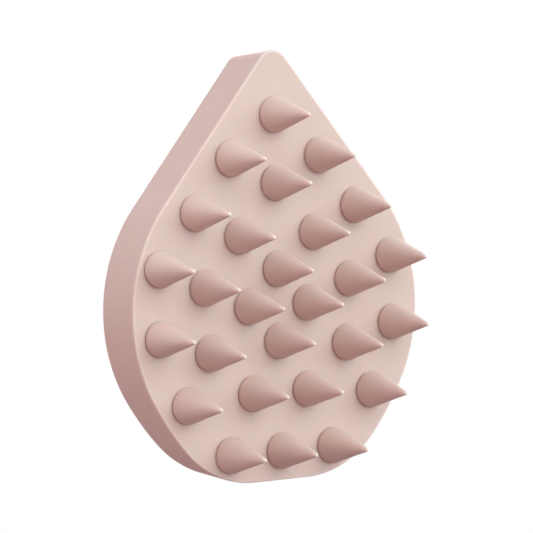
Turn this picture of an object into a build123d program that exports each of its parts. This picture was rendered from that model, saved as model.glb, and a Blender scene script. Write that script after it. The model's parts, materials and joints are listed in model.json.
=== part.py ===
"""Teardrop scalp massager: a soft silicone body with 27 sprung cone bristles, stretched over a stiff core.

Millimetres. +Z points to the teardrop's tip, the bristles point along -Y, and the origin is the centre
of the flat foot, half-way through the depth of the body.
"""
from build123d import *
from math import acos, asin, atan2, cos, hypot, pi, sin
import os

# Outline of the face, seen from the front
height = 90.0
belly_radius = 35.9
belly_z = 35.9
tip_radius = 4.0
foot_half_width = 6.6
foot_corner_radius = 23.1
haunch_radius = 62.0

# Depth of the body, and how far its side wall leans in. The foot stays level and narrows to the back.
depth = 13.7
side_draft = 1.1
rear_foot_half_width = 3.6
rear_corner_radius = 26.8
rim_depth = 0.9
rim_overhang = 0.1
front_edge_radius = 0.35
back_edge_radius = 0.4
face_y = -depth / 2
back_y = depth / 2

# Bristles
bristle_radius = 4.05
bristle_length = 13.0
bristle_tip_radius = 0.4
socket_gap = 0.15

# Bristle places on the face, as (x, z). The rings are mirrored to the other side.
outer_ring = [(0, 76.7), (11.2, 67.9), (20.2, 57.0), (29.2, 45.9), (29.4, 31.6), (23.3, 17.4),
              (12.9, 6.3), (0, 6.3)]
inner_ring = [(0, 62.5), (9.4, 51.8), (18.3, 41.5), (17.3, 27.9), (6.9, 18.8)]
middle_group = [(0, 44.5), (7.4, 37.0), (0, 29.4)]

# Stiff core inside the silicone
face_wall = 5.6
core_inset = 3.3
cavity_gap = 0.1
root_plate_thickness = 1.6
frame_depth = 3.6
frame_rim_width = 2.0
rib_width = 1.6
smallest_tip_radius = 1.2
lip_thickness = 1.2
lip_inset = 5.3
root_plate_y = face_y + face_wall
frame_y = root_plate_y + root_plate_thickness
cover_y = frame_y + frame_depth
lip_y = back_y - lip_thickness

# Seal ring, in a groove of the back cover
seal_inset = 3.9
seal_width = 1.0
seal_depth = 0.8

# Screws that clamp the core together, and their bosses
screw_places = [(0, 74), (22, 52), (-22, 52), (24, 24), (-24, 24), (0, 10)]
screw_radius = 1.0
screw_hole_radius = 1.1
screw_pilot_radius = 0.9
screw_length = 6.5
screw_head_radius = 2.0
screw_head_depth = 1.0
screw_point_length = 0.8
screw_point_radius = 0.1
drive_width = 0.45
drive_span = 2.2
drive_depth = 0.5
boss_radius = 2.8

tolerance = 0.001


def polar(radius, angle):
    """Point at a radius and an angle from the origin."""
    return Vector(radius * cos(angle), radius * sin(angle))


def arc(centre, start, end):
    """Arc of less than half a turn around centre, from start to end."""
    middle = (start + end) / 2 - centre
    radius = (start - centre).length
    return ThreePointArc(start, centre + middle.normalized() * radius, end)


def haunch_centre(belly, corner, corner_radius):
    """Centre of the shallow arc that runs on from the foot corner's arc into the belly's arc."""
    to_belly = haunch_radius - belly_radius
    to_corner = haunch_radius - corner_radius
    line = corner - belly
    along = (to_belly ** 2 - to_corner ** 2 + line.length ** 2) / (2 * line.length)
    across = (to_belly ** 2 - along ** 2) ** 0.5
    direction = line.normalized()
    return belly + direction * along + Vector(-direction.Y, direction.X) * -across


def teardrop(inset=0.0, foot_z=None, foot_half=foot_half_width, corner_radius=foot_corner_radius):
    """Face of the teardrop outline moved in by inset. Its foot is at foot_z, or moves in with the rest."""
    foot_z = inset if foot_z is None else foot_z
    belly = Vector(0, belly_z)
    belly_r = belly_radius - inset
    corner_r = corner_radius - inset
    corner = Vector(foot_half, foot_z + corner_r)
    haunch = haunch_centre(belly, corner, corner_radius)
    tip_r = max(tip_radius - inset, smallest_tip_radius)
    lean = asin((belly_radius - tip_radius) / (height - tip_radius - belly_z))
    flank = polar(1, lean)
    tip = Vector(0, belly_z + (belly_r - tip_r) / sin(lean))
    right = [
        Vector(foot_half, foot_z),
        corner + (corner - haunch).normalized() * corner_r,
        belly + (belly - haunch).normalized() * belly_r,
        belly + flank * belly_r,
        tip + flank * tip_r,
    ]
    left = [Vector(-p.X, p.Y) for p in right]
    mirrored_corner = Vector(-corner.X, corner.Y)
    mirrored_haunch = Vector(-haunch.X, haunch.Y)
    return make_face([
        Line(left[0], right[0]),
        arc(corner, right[0], right[1]),
        arc(haunch, right[1], right[2]),
        arc(belly, right[2], right[3]),
        Line(right[3], right[4]),
        arc(tip, right[4], left[4]),
        Line(left[4], left[3]),
        arc(belly, left[3], left[2]),
        arc(mirrored_haunch, left[2], left[1]),
        arc(mirrored_corner, left[1], left[0]),
    ])


def at_y(y):
    """Plane that faces the front, at depth y, with the outline's own x and z."""
    return Plane.XZ.offset(-y)


def slab(face, y_front, y_back):
    """The face made solid between two depths."""
    return extrude(at_y(y_back) * face, amount=y_back - y_front)


def rod(x, z, radius, y_front, y_back):
    """Round bar along Y between two depths."""
    return slab(Pos(x, z) * Circle(radius), y_front, y_back)


def edges_at(shape, y):
    """Edges that lie in the plane at depth y."""
    return shape.edges().filter_by_position(Axis.Y, y - tolerance, y + tolerance)


def bristle_places():
    """Every bristle's (x, z), from the tip down, with the mirrored ones."""
    places = []
    for x, z in outer_ring + inner_ring + middle_group:
        places += [(-x, z), (x, z)] if x else [(x, z)]
    return sorted(places, key=lambda place: (-place[1], place[0]))


def silicone_body():
    """Face, side wall and rear lip in one soft moulding, with a round socket for each bristle."""
    rim = slab(teardrop(), face_y, face_y + rim_depth)
    wall_front = at_y(face_y + rim_depth) * teardrop(rim_overhang, foot_z=0)
    rear_outline = teardrop(side_draft, 0, rear_foot_half_width, rear_corner_radius)
    wall_back = at_y(back_y) * rear_outline
    body = rim + loft([wall_front, wall_back], ruled=True)
    body = fillet(edges_at(body, face_y), front_edge_radius)
    body = fillet(edges_at(body, back_y), back_edge_radius)
    body -= slab(teardrop(core_inset - cavity_gap), root_plate_y, lip_y)
    body -= slab(teardrop(lip_inset), lip_y, back_y)
    for x, z in bristle_places():
        body -= Pos(x, face_y, z) * Sphere(bristle_radius + socket_gap)
    return body


def bristle():
    """Cone with a rounded point, standing on a half-ball root. Its base is centred on the origin."""
    tip_centre = bristle_length - bristle_tip_radius
    to_tip_centre = atan2(tip_centre, bristle_radius)
    # The flank leaves the edge of the base and just touches the ball at the point.
    lean = acos(bristle_tip_radius / hypot(bristle_radius, tip_centre)) - to_tip_centre
    tip = Vector(0, bristle_length)
    shoulder = Vector(0, tip_centre) + polar(bristle_tip_radius, lean)
    tip_middle = Vector(0, tip_centre) + polar(bristle_tip_radius, (lean + pi / 2) / 2)
    root_middle = polar(bristle_radius, -pi / 4)
    profile = make_face([
        Line(Vector(0, -bristle_radius), tip),
        ThreePointArc(tip, tip_middle, shoulder),
        Line(shoulder, Vector(bristle_radius, 0)),
        ThreePointArc(Vector(bristle_radius, 0), root_middle, Vector(0, -bristle_radius)),
    ])
    return Rot(180, 0, 0) * revolve(profile, Axis.Y)


def screw_holes(radius, y_front, y_back):
    """One round bar for each screw, to be cut away."""
    return [rod(x, z, radius, y_front, y_back) for x, z in screw_places]


def head_seat(x, z, radius):
    """Countersunk cone under a screw head, flush with the front of the root plate."""
    cone = Cone(screw_radius, radius, screw_head_depth)
    return Pos(x, root_plate_y + screw_head_depth / 2, z) * Rot(90, 0, 0) * cone


def root_plate():
    """Stiff plate behind the soft face, countersunk for the screws."""
    plate = slab(teardrop(core_inset), root_plate_y, frame_y)
    seats = [head_seat(x, z, screw_head_radius + cavity_gap) for x, z in screw_places]
    return plate - screw_holes(screw_hole_radius, root_plate_y, frame_y) - seats


def core_frame():
    """Ring with ribs and screw bosses, which keeps the plate and the back cover apart."""
    outline = teardrop(core_inset)
    ring = slab(outline - teardrop(core_inset + frame_rim_width), frame_y, cover_y)
    spine = Pos(0, height / 2) * Rectangle(rib_width, height)
    bar_heights = sorted({z for x, z in screw_places if x})
    bars = [Pos(0, z) * Rectangle(2 * belly_radius, rib_width) for z in bar_heights]
    ribs = slab(outline & (spine + bars), frame_y, cover_y)
    bosses = [rod(x, z, boss_radius, frame_y, cover_y) for x, z in screw_places]
    return ring + ribs + bosses - screw_holes(screw_hole_radius, frame_y, cover_y)


def seal_band():
    """Closed band that the seal ring and its groove share."""
    return slab(teardrop(seal_inset) - teardrop(seal_inset + seal_width), lip_y - seal_depth, lip_y)


def back_cover():
    """Cover with a flange under the silicone lip and a panel that ends flush with the lip's rear face."""
    flange = slab(teardrop(core_inset), cover_y, lip_y)
    panel = slab(teardrop(lip_inset + cavity_gap), lip_y, back_y)
    pilots = screw_holes(screw_pilot_radius, cover_y, lip_y)
    return flange + panel - seal_band() - pilots


def screw(x, z):
    """Countersunk screw with a cross recess and a pointed end, driven from the front."""
    point_y = root_plate_y + screw_length
    shank_end = point_y - screw_point_length
    shank = rod(x, z, screw_radius, root_plate_y + screw_head_depth / 2, shank_end)
    cone = Cone(screw_point_radius, screw_radius, screw_point_length)
    point = Pos(x, (shank_end + point_y) / 2, z) * Rot(90, 0, 0) * cone
    recess = [Box(drive_span, 2 * drive_depth, drive_width), Box(drive_width, 2 * drive_depth, drive_span)]
    recess = [Pos(x, root_plate_y, z) * bar for bar in recess]
    return head_seat(x, z, screw_head_radius) + shank + point - recess


def save(shape, node):
    """Write one sub-part."""
    export_step(shape, f"parts/{node}.step")


os.makedirs("parts", exist_ok=True)
save(silicone_body(), "silicone_body")
save(root_plate(), "root_plate")
save(core_frame(), "core_frame")
save(back_cover(), "back_cover")
save(seal_band(), "seal_ring")
save(Compound([screw(x, z) for x, z in screw_places]), "screws")
one_bristle = bristle()
for number, (x, z) in enumerate(bristle_places(), start=1):
    save(Pos(x, face_y, z) * one_bristle, f"bristle_{number:02d}")
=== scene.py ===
"""Looks of the teardrop scalp massager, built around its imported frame. Lengths are in metres."""
import json
import math

import bmesh
import bpy
from mathutils import Matrix, Vector


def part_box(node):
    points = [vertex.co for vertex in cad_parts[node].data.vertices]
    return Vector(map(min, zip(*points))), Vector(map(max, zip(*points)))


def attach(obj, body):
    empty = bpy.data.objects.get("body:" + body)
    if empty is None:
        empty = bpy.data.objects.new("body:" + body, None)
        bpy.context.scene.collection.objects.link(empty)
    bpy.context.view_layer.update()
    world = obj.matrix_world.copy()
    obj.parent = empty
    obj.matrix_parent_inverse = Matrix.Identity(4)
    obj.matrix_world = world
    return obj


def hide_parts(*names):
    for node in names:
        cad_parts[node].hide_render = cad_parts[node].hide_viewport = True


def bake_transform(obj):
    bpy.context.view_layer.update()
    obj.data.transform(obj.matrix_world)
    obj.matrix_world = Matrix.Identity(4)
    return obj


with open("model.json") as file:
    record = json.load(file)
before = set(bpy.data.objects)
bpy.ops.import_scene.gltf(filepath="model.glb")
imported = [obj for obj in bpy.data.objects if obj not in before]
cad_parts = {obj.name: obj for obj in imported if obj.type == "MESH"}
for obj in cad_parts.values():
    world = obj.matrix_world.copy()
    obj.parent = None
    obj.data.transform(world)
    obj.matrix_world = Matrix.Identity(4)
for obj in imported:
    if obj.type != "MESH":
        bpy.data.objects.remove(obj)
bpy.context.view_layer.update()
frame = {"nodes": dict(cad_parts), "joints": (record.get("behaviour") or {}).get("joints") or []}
MM = 0.001

# ---------------------------------------------------------------- the frame's own sizes
BODY_LOW, BODY_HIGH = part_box("silicone_body")
FACE_Y, BACK_Y = BODY_LOW.y, BODY_HIGH.y
BELLY_RADIUS = (BODY_HIGH.x - BODY_LOW.x) / 2
HEIGHT = BODY_HIGH.z
BRISTLE_LOW, BRISTLE_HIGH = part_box("bristle_01")
BRISTLE_RADIUS = (BRISTLE_HIGH.x - BRISTLE_LOW.x) / 2
BRISTLE_LENGTH = FACE_Y - BRISTLE_LOW.y

# Outline of the body, as in the CAD model
BELLY_Z = 35.9 * MM
TIP_RADIUS = 4.0 * MM
FOOT_HALF_WIDTH = 6.6 * MM
FOOT_CORNER_RADIUS = 23.1 * MM
REAR_FOOT_HALF_WIDTH = 3.6 * MM
REAR_CORNER_RADIUS = 26.8 * MM
HAUNCH_RADIUS = 62.0 * MM
SMALLEST_TIP_RADIUS = 1.2 * MM
SIDE_DRAFT = 1.1 * MM
RIM_DEPTH = 0.9 * MM
RIM_OVERHANG = 0.1 * MM
FRONT_EDGE_RADIUS = 0.35 * MM
BACK_EDGE_RADIUS = 0.4 * MM
LIP_INSET = 5.3 * MM
LIP_THICKNESS = 1.2 * MM
LIP_EDGE_RADIUS = 0.3 * MM
CAVITY_INSET = 3.2 * MM
FACE_WALL = 5.6 * MM
BRISTLE_TIP_RADIUS = 0.4 * MM

# How finely the outline is divided
FOOT_STEPS = 6
CORNER_STEPS = 28
HAUNCH_STEPS = 20
BELLY_STEPS = 60
FLANK_STEPS = 24
TIP_STEPS = 24

# Rows of the body, from the face to the back. Support rows keep the shading of flat parts flat.
EDGE_SUPPORT = 0.12 * MM
FRONT_EDGE_ROWS = 8
RIM_STEP_ROWS = 3
WALL_ROWS = 8
BACK_EDGE_ROWS = 8
LIP_EDGE_ROWS = 6
# Painted highlight on the rounded front edge: how far its colour moves toward the highlight colour
EDGE_PAINTED_HIGHLIGHT = 0.3

# Bristles: a rounded neck at the face, then a straight cone. The point is painted paler as a painted
# highlight.
NECK_DEPTH = 0.35 * MM
NECK_HEIGHT = 0.7 * MM
NECK_ROWS = 5
CONE_ROWS = 36
POINT_ROWS = 7
CONE_SIDES = 72
BRISTLE_SINK = 0.5 * MM
PAINTED_HIGHLIGHT_TIP_START = 0.82


# ---------------------------------------------------------------- outline
def arc_points(centre, radius, start, end, steps):
    """Points on an arc from angle start to angle end, without the last one."""
    angles = [start + (end - start) * i / steps for i in range(steps)]
    return [(centre[0] + radius * math.cos(a), centre[1] + radius * math.sin(a)) for a in angles]


def outline(inset, foot_z, foot_half=FOOT_HALF_WIDTH, corner_radius=FOOT_CORNER_RADIUS):
    """Points round the teardrop, moved in by inset, with the foot at foot_z. Every outline has as many."""
    belly = Vector((0, BELLY_Z))
    corner_r = corner_radius - inset
    corner = Vector((foot_half, foot_z + corner_r))
    to_belly = HAUNCH_RADIUS - BELLY_RADIUS
    to_corner = HAUNCH_RADIUS - corner_radius
    line = corner - belly
    along = (to_belly ** 2 - to_corner ** 2 + line.length_squared) / (2 * line.length)
    across = math.sqrt(to_belly ** 2 - along ** 2)
    direction = line.normalized()
    haunch = belly + direction * along + Vector((direction.y, -direction.x)) * across
    low = math.atan2(corner.y - haunch.y, corner.x - haunch.x)
    high = math.atan2(belly.y - haunch.y, belly.x - haunch.x)
    lean = math.asin((BELLY_RADIUS - TIP_RADIUS) / (HEIGHT - TIP_RADIUS - BELLY_Z))
    belly_r = BELLY_RADIUS - inset
    tip_r = max(TIP_RADIUS - inset, SMALLEST_TIP_RADIUS)
    tip = Vector((0, BELLY_Z + (belly_r - tip_r) / math.sin(lean)))
    flank = Vector((math.cos(lean), math.sin(lean)))
    top, bottom = tip + flank * tip_r, belly + flank * belly_r
    right = [(foot_half * i / FOOT_STEPS, foot_z) for i in range(FOOT_STEPS)]
    right += arc_points(corner, corner_r, -math.pi / 2, low, CORNER_STEPS)
    right += arc_points(haunch, HAUNCH_RADIUS - inset, low, high, HAUNCH_STEPS)
    right += arc_points(belly, belly_r, high, lean, BELLY_STEPS)
    right += [tuple(bottom.lerp(top, i / FLANK_STEPS)) for i in range(FLANK_STEPS)]
    right += arc_points(tip, tip_r, lean, math.pi / 2, TIP_STEPS)
    return right + [(0.0, tip.y + tip_r)] + [(-x, z) for x, z in reversed(right[1:])]


# ---------------------------------------------------------------- meshes
def mesh_object(name, points, faces):
    """New smooth-shaded mesh object with its faces turned outwards."""
    mesh = bpy.data.meshes.new(name)
    mesh.from_pydata(points, [], faces)
    work = bmesh.new()
    work.from_mesh(mesh)
    bmesh.ops.recalc_face_normals(work, faces=work.faces)
    for face in work.faces:
        face.smooth = True
    work.to_mesh(mesh)
    work.free()
    obj = bpy.data.objects.new(name, mesh)
    bpy.context.scene.collection.objects.link(obj)
    return obj


def ring_solid(name, rings, highlight_per_ring):
    """Closed solid through rings of equal length, capped at both ends. Each ring has its own strength of
    painted highlight.
    """
    count = len(rings[0])
    points = [point for ring in rings for point in ring]
    faces = [list(range(count)), list(range(len(points) - count, len(points)))]
    for row in range(len(rings) - 1):
        for i in range(count):
            j = (i + 1) % count
            start = row * count
            faces.append([start + i, start + j, start + count + j, start + count + i])
    obj = mesh_object(name, points, faces)
    painted_highlight = obj.data.attributes.new("painted_highlight", "FLOAT", "POINT")
    painted_highlight.data.foreach_set("value", [value for value in highlight_per_ring for _ in range(count)])
    return obj


def body_ring(y, inset, foot_z=0.0):
    """The front part's outline at one depth of the body."""
    return [(x, y, z) for x, z in outline(inset, foot_z)]


def rear_ring(y, inset, foot_z=0.0):
    """The same at the back, where the foot is narrower."""
    return [(x, y, z) for x, z in outline(inset, foot_z, REAR_FOOT_HALF_WIDTH, REAR_CORNER_RADIUS)]


def between(front, back, share):
    """Ring part of the way from one ring to another."""
    return [tuple(Vector(a).lerp(b, share)) for a, b in zip(front, back)]


def quarter(steps):
    """(sine, 1 - cosine) pairs over a quarter turn."""
    angles = [math.pi / 2 * i / steps for i in range(steps + 1)]
    return [(math.sin(a), 1 - math.cos(a)) for a in angles]


def body_rings():
    """Rings from the face, over the front edge and side wall, round the rear lip, into the cavity."""
    front_edge = FRONT_EDGE_RADIUS + EDGE_SUPPORT
    rings = [body_ring(FACE_Y, front_edge, front_edge)]
    for rise, fall in quarter(FRONT_EDGE_ROWS):
        inset = FRONT_EDGE_RADIUS * (1 - rise)
        rings.append(body_ring(FACE_Y + FRONT_EDGE_RADIUS * fall, inset, inset))
    soft = RIM_OVERHANG / 2
    rim_end = FACE_Y + RIM_DEPTH
    for rise, fall in quarter(RIM_STEP_ROWS):
        rings.append(body_ring(rim_end - soft + soft * rise, soft * fall))
    for rise, fall in quarter(RIM_STEP_ROWS)[1:]:
        rings.append(body_ring(rim_end + soft * fall, soft + soft * rise))
    wall_front, wall_back = body_ring(rim_end, RIM_OVERHANG), rear_ring(BACK_Y, SIDE_DRAFT)
    first = soft / (BACK_Y - rim_end)
    last = 1 - BACK_EDGE_RADIUS / (BACK_Y - rim_end)
    for i in range(1, WALL_ROWS + 1):
        rings.append(between(wall_front, wall_back, first + (last - first) * i / WALL_ROWS))
    for rise, fall in quarter(BACK_EDGE_ROWS)[1:]:
        drop = BACK_EDGE_RADIUS * fall
        y = BACK_Y - BACK_EDGE_RADIUS * (1 - rise)
        rings.append(rear_ring(y, SIDE_DRAFT + drop, drop))
    back_edge = BACK_EDGE_RADIUS + EDGE_SUPPORT
    rings.append(rear_ring(BACK_Y, SIDE_DRAFT + back_edge, back_edge))
    flat_end = LIP_INSET - LIP_EDGE_RADIUS
    rings.append(body_ring(BACK_Y, flat_end - EDGE_SUPPORT, flat_end - EDGE_SUPPORT))
    for rise, fall in quarter(LIP_EDGE_ROWS):
        inset = flat_end + LIP_EDGE_RADIUS * rise
        rings.append(body_ring(BACK_Y - LIP_EDGE_RADIUS * fall, inset, inset))
    rings.append(body_ring(BACK_Y - LIP_THICKNESS, LIP_INSET, LIP_INSET))
    rings.append(body_ring(BACK_Y - LIP_THICKNESS, CAVITY_INSET, CAVITY_INSET))
    rings.append(body_ring(FACE_Y + FACE_WALL, CAVITY_INSET, CAVITY_INSET))
    return rings


def body_painted_highlight(ring_count):
    """Painted highlight: only the rounded front edge is painted paler."""
    on_edge = range(1, FRONT_EDGE_ROWS + 2)
    return [EDGE_PAINTED_HIGHLIGHT if row in on_edge else 0.0 for row in range(ring_count)]


def bristle_mesh(name, x, z):
    """Cone with a rounded point. It has rows enough to bend, and its foot is sunk into the face."""
    tip_r = BRISTLE_TIP_RADIUS
    tip_centre = BRISTLE_LENGTH - tip_r
    to_tip_centre = math.atan2(tip_centre, BRISTLE_RADIUS)
    lean = math.acos(tip_r / math.hypot(BRISTLE_RADIUS, tip_centre)) - to_tip_centre
    shoulder = (tip_r * math.cos(lean), tip_centre + tip_r * math.sin(lean))
    flank = Vector(shoulder) - Vector((BRISTLE_RADIUS, 0))
    neck_share = NECK_HEIGHT / flank.y
    neck_radius = BRISTLE_RADIUS + flank.x * neck_share
    profile = [(neck_radius - NECK_DEPTH, -BRISTLE_SINK)]
    for rise, fall in quarter(NECK_ROWS):
        profile.append((neck_radius - NECK_DEPTH * (1 - rise), NECK_HEIGHT * fall))
    for i in range(1, CONE_ROWS + 1):
        share = neck_share + (1 - neck_share) * i / CONE_ROWS
        profile.append((BRISTLE_RADIUS + flank.x * share, flank.y * share))
    for i in range(1, POINT_ROWS):
        angle = lean + (math.pi / 2 - lean) * i / POINT_ROWS
        profile.append((tip_r * math.cos(angle), tip_centre + tip_r * math.sin(angle)))
    rings = []
    for radius, rise in profile:
        circle = arc_points((x, z), radius, 0, 2 * math.pi, CONE_SIDES)
        rings.append([(px, FACE_Y - rise, pz) for px, pz in circle])
    # Painted highlight: the last part of each bristle grows paler towards its point
    starts = [max(0.0, rise / BRISTLE_LENGTH - PAINTED_HIGHLIGHT_TIP_START) for _, rise in profile]
    return ring_solid(name, rings, [(start / (1 - PAINTED_HIGHLIGHT_TIP_START)) ** 2 for start in starts])


# ---------------------------------------------------------------- materials
def new_material(name):
    """Material with node tree and its Principled shader."""
    material = bpy.data.materials.new(name)
    material.use_nodes = True
    shader = material.node_tree.nodes["Principled BSDF"]
    return material, material.node_tree.nodes, material.node_tree.links, shader


def noise(nodes, links, coords, scale, detail=2.0, rough=0.5):
    """Noise texture over the object's own coordinates."""
    node = nodes.new("ShaderNodeTexNoise")
    node.inputs["Scale"].default_value = scale
    node.inputs["Detail"].default_value = detail
    node.inputs["Roughness"].default_value = rough
    links.new(coords.outputs["Object"], node.inputs["Vector"])
    return node


def ramp(nodes, links, source, low, high, colours):
    """Colour ramp over a noise's factor."""
    node = nodes.new("ShaderNodeValToRGB")
    node.color_ramp.elements[0].position = low
    node.color_ramp.elements[1].position = high
    node.color_ramp.elements[0].color = (*colours[0], 1)
    node.color_ramp.elements[1].color = (*colours[1], 1)
    links.new(source.outputs["Fac"], node.inputs["Fac"])
    return node


def map_range(nodes, links, source, low, high):
    """A noise's factor turned into a number between low and high."""
    node = nodes.new("ShaderNodeMapRange")
    node.inputs["From Min"].default_value = 0.3
    node.inputs["From Max"].default_value = 0.7
    node.inputs["To Min"].default_value = low
    node.inputs["To Max"].default_value = high
    links.new(source.outputs["Fac"], node.inputs["Value"])
    return node


def bump(nodes, links, source, shader, strength, distance, below=None):
    """Bump from a noise, on top of another bump if one is given."""
    node = nodes.new("ShaderNodeBump")
    node.inputs["Strength"].default_value = strength
    node.inputs["Distance"].default_value = distance
    links.new(source.outputs["Fac"], node.inputs["Height"])
    if below:
        links.new(below.outputs["Normal"], node.inputs["Normal"])
    links.new(node.outputs["Normal"], shader.inputs["Normal"])
    return node


def silicone(name, light, dark, painted_highlight):
    """Matte silicone: slightly cloudy, with a fine blasted grain, and painted paler where its mesh marks a
    painted highlight.
    """
    material, nodes, links, shader = new_material(name)
    coords = nodes.new("ShaderNodeTexCoord")
    cloud = noise(nodes, links, coords, 60, 3)
    grain = noise(nodes, links, coords, 5200, 2, 0.6)
    swell = noise(nodes, links, coords, 420, 2)
    # Painted highlight: the mesh attribute mixes the colour toward a paler highlight colour
    highlight_mask = nodes.new("ShaderNodeAttribute")
    highlight_mask.attribute_name = "painted_highlight"
    tint = nodes.new("ShaderNodeMix")
    tint.data_type = "RGBA"
    tint.inputs["B"].default_value = (*painted_highlight, 1)
    links.new(highlight_mask.outputs["Fac"], tint.inputs["Factor"])
    tone = ramp(nodes, links, cloud, 0.3, 0.7, (dark, light))
    links.new(tone.outputs["Color"], tint.inputs["A"])
    links.new(tint.outputs["Result"], shader.inputs["Base Color"])
    roughness = map_range(nodes, links, swell, 0.46, 0.56)
    links.new(roughness.outputs["Result"], shader.inputs["Roughness"])
    wave = bump(nodes, links, swell, shader, 0.12, 0.00002)
    bump(nodes, links, grain, shader, 0.18, 0.00001, wave)
    shader.inputs["IOR"].default_value = 1.43
    shader.inputs["Subsurface Weight"].default_value = 0.35
    shader.inputs["Subsurface Radius"].default_value = (1.0, 0.45, 0.35)
    shader.inputs["Subsurface Scale"].default_value = 0.0012
    return material


def plastic(name, light, dark, rough_low, rough_high, grain_scale):
    """Moulded plastic with a spark-eroded grain."""
    material, nodes, links, shader = new_material(name)
    coords = nodes.new("ShaderNodeTexCoord")
    cloud = noise(nodes, links, coords, 45, 3)
    grain = noise(nodes, links, coords, grain_scale, 3, 0.6)
    tone = ramp(nodes, links, cloud, 0.3, 0.7, (dark, light))
    links.new(tone.outputs["Color"], shader.inputs["Base Color"])
    roughness = map_range(nodes, links, grain, rough_low, rough_high)
    links.new(roughness.outputs["Result"], shader.inputs["Roughness"])
    bump(nodes, links, grain, shader, 0.25, 0.00002)
    shader.inputs["IOR"].default_value = 1.5
    return material


def screw_steel(name):
    """Zinc-plated steel with a cloudy passivated finish."""
    material, nodes, links, shader = new_material(name)
    coords = nodes.new("ShaderNodeTexCoord")
    cloud = noise(nodes, links, coords, 900, 3)
    tone = ramp(nodes, links, cloud, 0.3, 0.7, ((0.52, 0.52, 0.54), (0.68, 0.68, 0.7)))
    links.new(tone.outputs["Color"], shader.inputs["Base Color"])
    roughness = map_range(nodes, links, cloud, 0.28, 0.42)
    links.new(roughness.outputs["Result"], shader.inputs["Roughness"])
    bump(nodes, links, cloud, shader, 0.1, 0.00002)
    shader.inputs["Metallic"].default_value = 1.0
    return material


def dress(obj, material):
    """Give an object this one material."""
    obj.data.materials.clear()
    obj.data.materials.append(material)


# ---------------------------------------------------------------- camera, light and floor
CAMERA_AZIMUTH = math.radians(34.358)
CAMERA_ELEVATION = math.radians(3.614)
CAMERA_ROLL = math.radians(1.32)
CAMERA_DISTANCE = 0.68814
CAMERA_AIM = Vector((-0.002956, -0.007077, 0.045049))
CAMERA_LENS = 222.887
CAMERA_SENSOR = 36

WHITE = (1.0, 1.0, 1.0, 1.0)
EVEN_GLOW = (0.45, 0.48, 0.485)
SOFT_LIGHTS = (
    # direction, sharpness, colour
    ((-0.05, -1.0, 0.05), 30, (0.75, 2.73, 2.93)),
    ((0.1, -0.85, 0.5), 20, (4.85, 5.63, 5.56)),
    ((0.6, -0.75, 0.3), 6, (2.20, 3.22, 3.18)),
    ((-1.0, 0.0, 0.0), 1, (1.09, 0.94, 0.89)),
    ((-0.7, 0.7, 0.1), 3, (0.31, 0.51, 0.57)),
    ((0.8, 0.6, 0.1), 3, (1.40, 0.72, 0.62)),
    ((0.0, 0.0, 1.0), 2, (0.0, 0.25, 0.33)),
)
FLOOR_GLOW = (0.475, 0.363, 0.378, 1.0)
FLOOR_DROP = 0.1 * MM
FLOOR_RADIUS = 6.0
FLOOR_SIDES = 96


def make_camera():
    """Camera in front of the face, to its left and a little above, rolled slightly."""
    swing = Matrix.Rotation(-CAMERA_AZIMUTH, 4, "Z")
    tilt = Matrix.Rotation(math.pi / 2 - CAMERA_ELEVATION, 4, "X")
    roll = Matrix.Rotation(-CAMERA_ROLL, 4, "Z")
    turn = swing @ tilt @ roll
    data = bpy.data.cameras.new("camera")
    data.sensor_width = CAMERA_SENSOR
    data.lens = CAMERA_LENS
    data.clip_start = 0.05
    data.clip_end = 50
    camera = bpy.data.objects.new("camera", data)
    backwards = turn.col[2].to_3d()
    camera.matrix_world = Matrix.Translation(CAMERA_AIM + backwards * CAMERA_DISTANCE) @ turn
    bpy.context.scene.collection.objects.link(camera)
    bpy.context.scene.camera = camera


def white_to_camera(nodes, links, target):
    """Feed target with plain white for the camera. Everything else gets the socket that this returns."""
    path = nodes.new("ShaderNodeLightPath")
    mix = nodes.new("ShaderNodeMix")
    mix.data_type = "RGBA"
    mix.inputs["B"].default_value = WHITE
    links.new(path.outputs["Is Camera Ray"], mix.inputs["Factor"])
    links.new(mix.outputs["Result"], target)
    return mix.inputs["A"]


def make_world():
    """White tent: an even glow, with broad soft lights spread over it."""
    world = bpy.data.worlds.new("studio")
    bpy.context.scene.world = world
    world.use_nodes = True
    nodes, links = world.node_tree.nodes, world.node_tree.links
    coords = nodes.new("ShaderNodeTexCoord")
    total = None
    for direction, sharpness, colour in SOFT_LIGHTS:
        facing = nodes.new("ShaderNodeVectorMath")
        facing.operation = "DOT_PRODUCT"
        facing.inputs[1].default_value = Vector(direction).normalized()
        links.new(coords.outputs["Generated"], facing.inputs[0])
        lit_side = nodes.new("ShaderNodeMath")
        lit_side.operation = "MAXIMUM"
        lit_side.inputs[1].default_value = 0.0
        links.new(facing.outputs["Value"], lit_side.inputs[0])
        falloff = nodes.new("ShaderNodeMath")
        falloff.operation = "POWER"
        falloff.inputs[1].default_value = sharpness
        links.new(lit_side.outputs["Value"], falloff.inputs[0])
        glow = nodes.new("ShaderNodeVectorMath")
        glow.operation = "SCALE"
        glow.inputs[0].default_value = colour
        links.new(falloff.outputs["Value"], glow.inputs["Scale"])
        added = nodes.new("ShaderNodeVectorMath")
        added.operation = "ADD"
        added.inputs[1].default_value = EVEN_GLOW
        links.new(glow.outputs["Vector"], added.inputs[0])
        if total:
            links.new(total.outputs["Vector"], added.inputs[1])
        total = added
    unseen = white_to_camera(nodes, links, nodes["Background"].inputs["Color"])
    links.new(total.outputs["Vector"], unseen)


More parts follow.
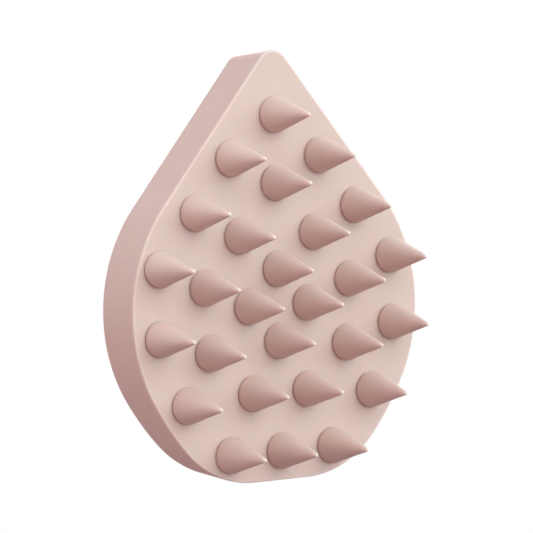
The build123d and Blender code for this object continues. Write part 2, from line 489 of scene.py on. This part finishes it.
def make_floor():
    """Plain pale floor just under the foot. It glows warmly on to the object, and is clear from below."""
    circle = arc_points((0, 0), FLOOR_RADIUS, 0, 2 * math.pi, FLOOR_SIDES)
    floor = mesh_object("floor", [(x, y, -FLOOR_DROP) for x, y in circle], [list(range(FLOOR_SIDES))])
    material, nodes, links, shader = new_material("floor_paper")
    shader.inputs["Base Color"].default_value = (0.0, 0.0, 0.0, 1.0)
    shader.inputs["Specular IOR Level"].default_value = 0.0
    shader.inputs["Emission Strength"].default_value = 1.0
    unseen = white_to_camera(nodes, links, shader.inputs["Emission Color"])
    unseen.default_value = FLOOR_GLOW
    geometry = nodes.new("ShaderNodeNewGeometry")
    clear = nodes.new("ShaderNodeBsdfTransparent")
    either = nodes.new("ShaderNodeMixShader")
    links.new(geometry.outputs["Backfacing"], either.inputs[0])
    links.new(shader.outputs["BSDF"], either.inputs[1])
    links.new(clear.outputs["BSDF"], either.inputs[2])
    links.new(either.outputs["Shader"], nodes["Material Output"].inputs["Surface"])
    dress(floor, material)


# ---------------------------------------------------------------- build
SILICONE_LIGHT = (0.587, 0.385, 0.345)
SILICONE_DARK = (0.573, 0.375, 0.335)
# Colour of the painted highlight on the front edge and the bristle points
SILICONE_HIGHLIGHT_COLOUR = (0.74, 0.55, 0.51)

bpy.context.scene.view_settings.view_transform = "Standard"
make_camera()
make_world()
make_floor()

body_silicone = silicone("silicone_skin", SILICONE_LIGHT, SILICONE_DARK, SILICONE_HIGHLIGHT_COLOUR)
rings = body_rings()
soft_body = ring_solid("soft_body", rings, body_painted_highlight(len(rings)))
dress(soft_body, body_silicone)
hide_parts("silicone_body")
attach(soft_body, "body")

bristle_silicone = silicone("silicone_bristle", SILICONE_LIGHT, SILICONE_DARK, SILICONE_HIGHLIGHT_COLOUR)
for joint in frame["joints"]:
    x, _, z = joint["pos_m"]
    piece = bristle_mesh("soft_" + joint["child"], x, z)
    dress(piece, bristle_silicone)
    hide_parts(joint["child"])
    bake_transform(piece)

core_plastic = plastic("core_plastic", (0.66, 0.64, 0.61), (0.62, 0.6, 0.57), 0.42, 0.55, 2600)
cover_plastic = plastic("cover_plastic", (0.61, 0.41, 0.37), (0.59, 0.395, 0.355), 0.4, 0.5, 2200)
seal_rubber = plastic("seal_rubber", (0.09, 0.085, 0.085), (0.07, 0.065, 0.065), 0.55, 0.7, 1800)
finishes = {"root_plate": core_plastic, "core_frame": core_plastic, "back_cover": cover_plastic,
            "seal_ring": seal_rubber, "screws": screw_steel("zinc_steel")}
for node, material in finishes.items():
    dress(frame["nodes"][node], material)
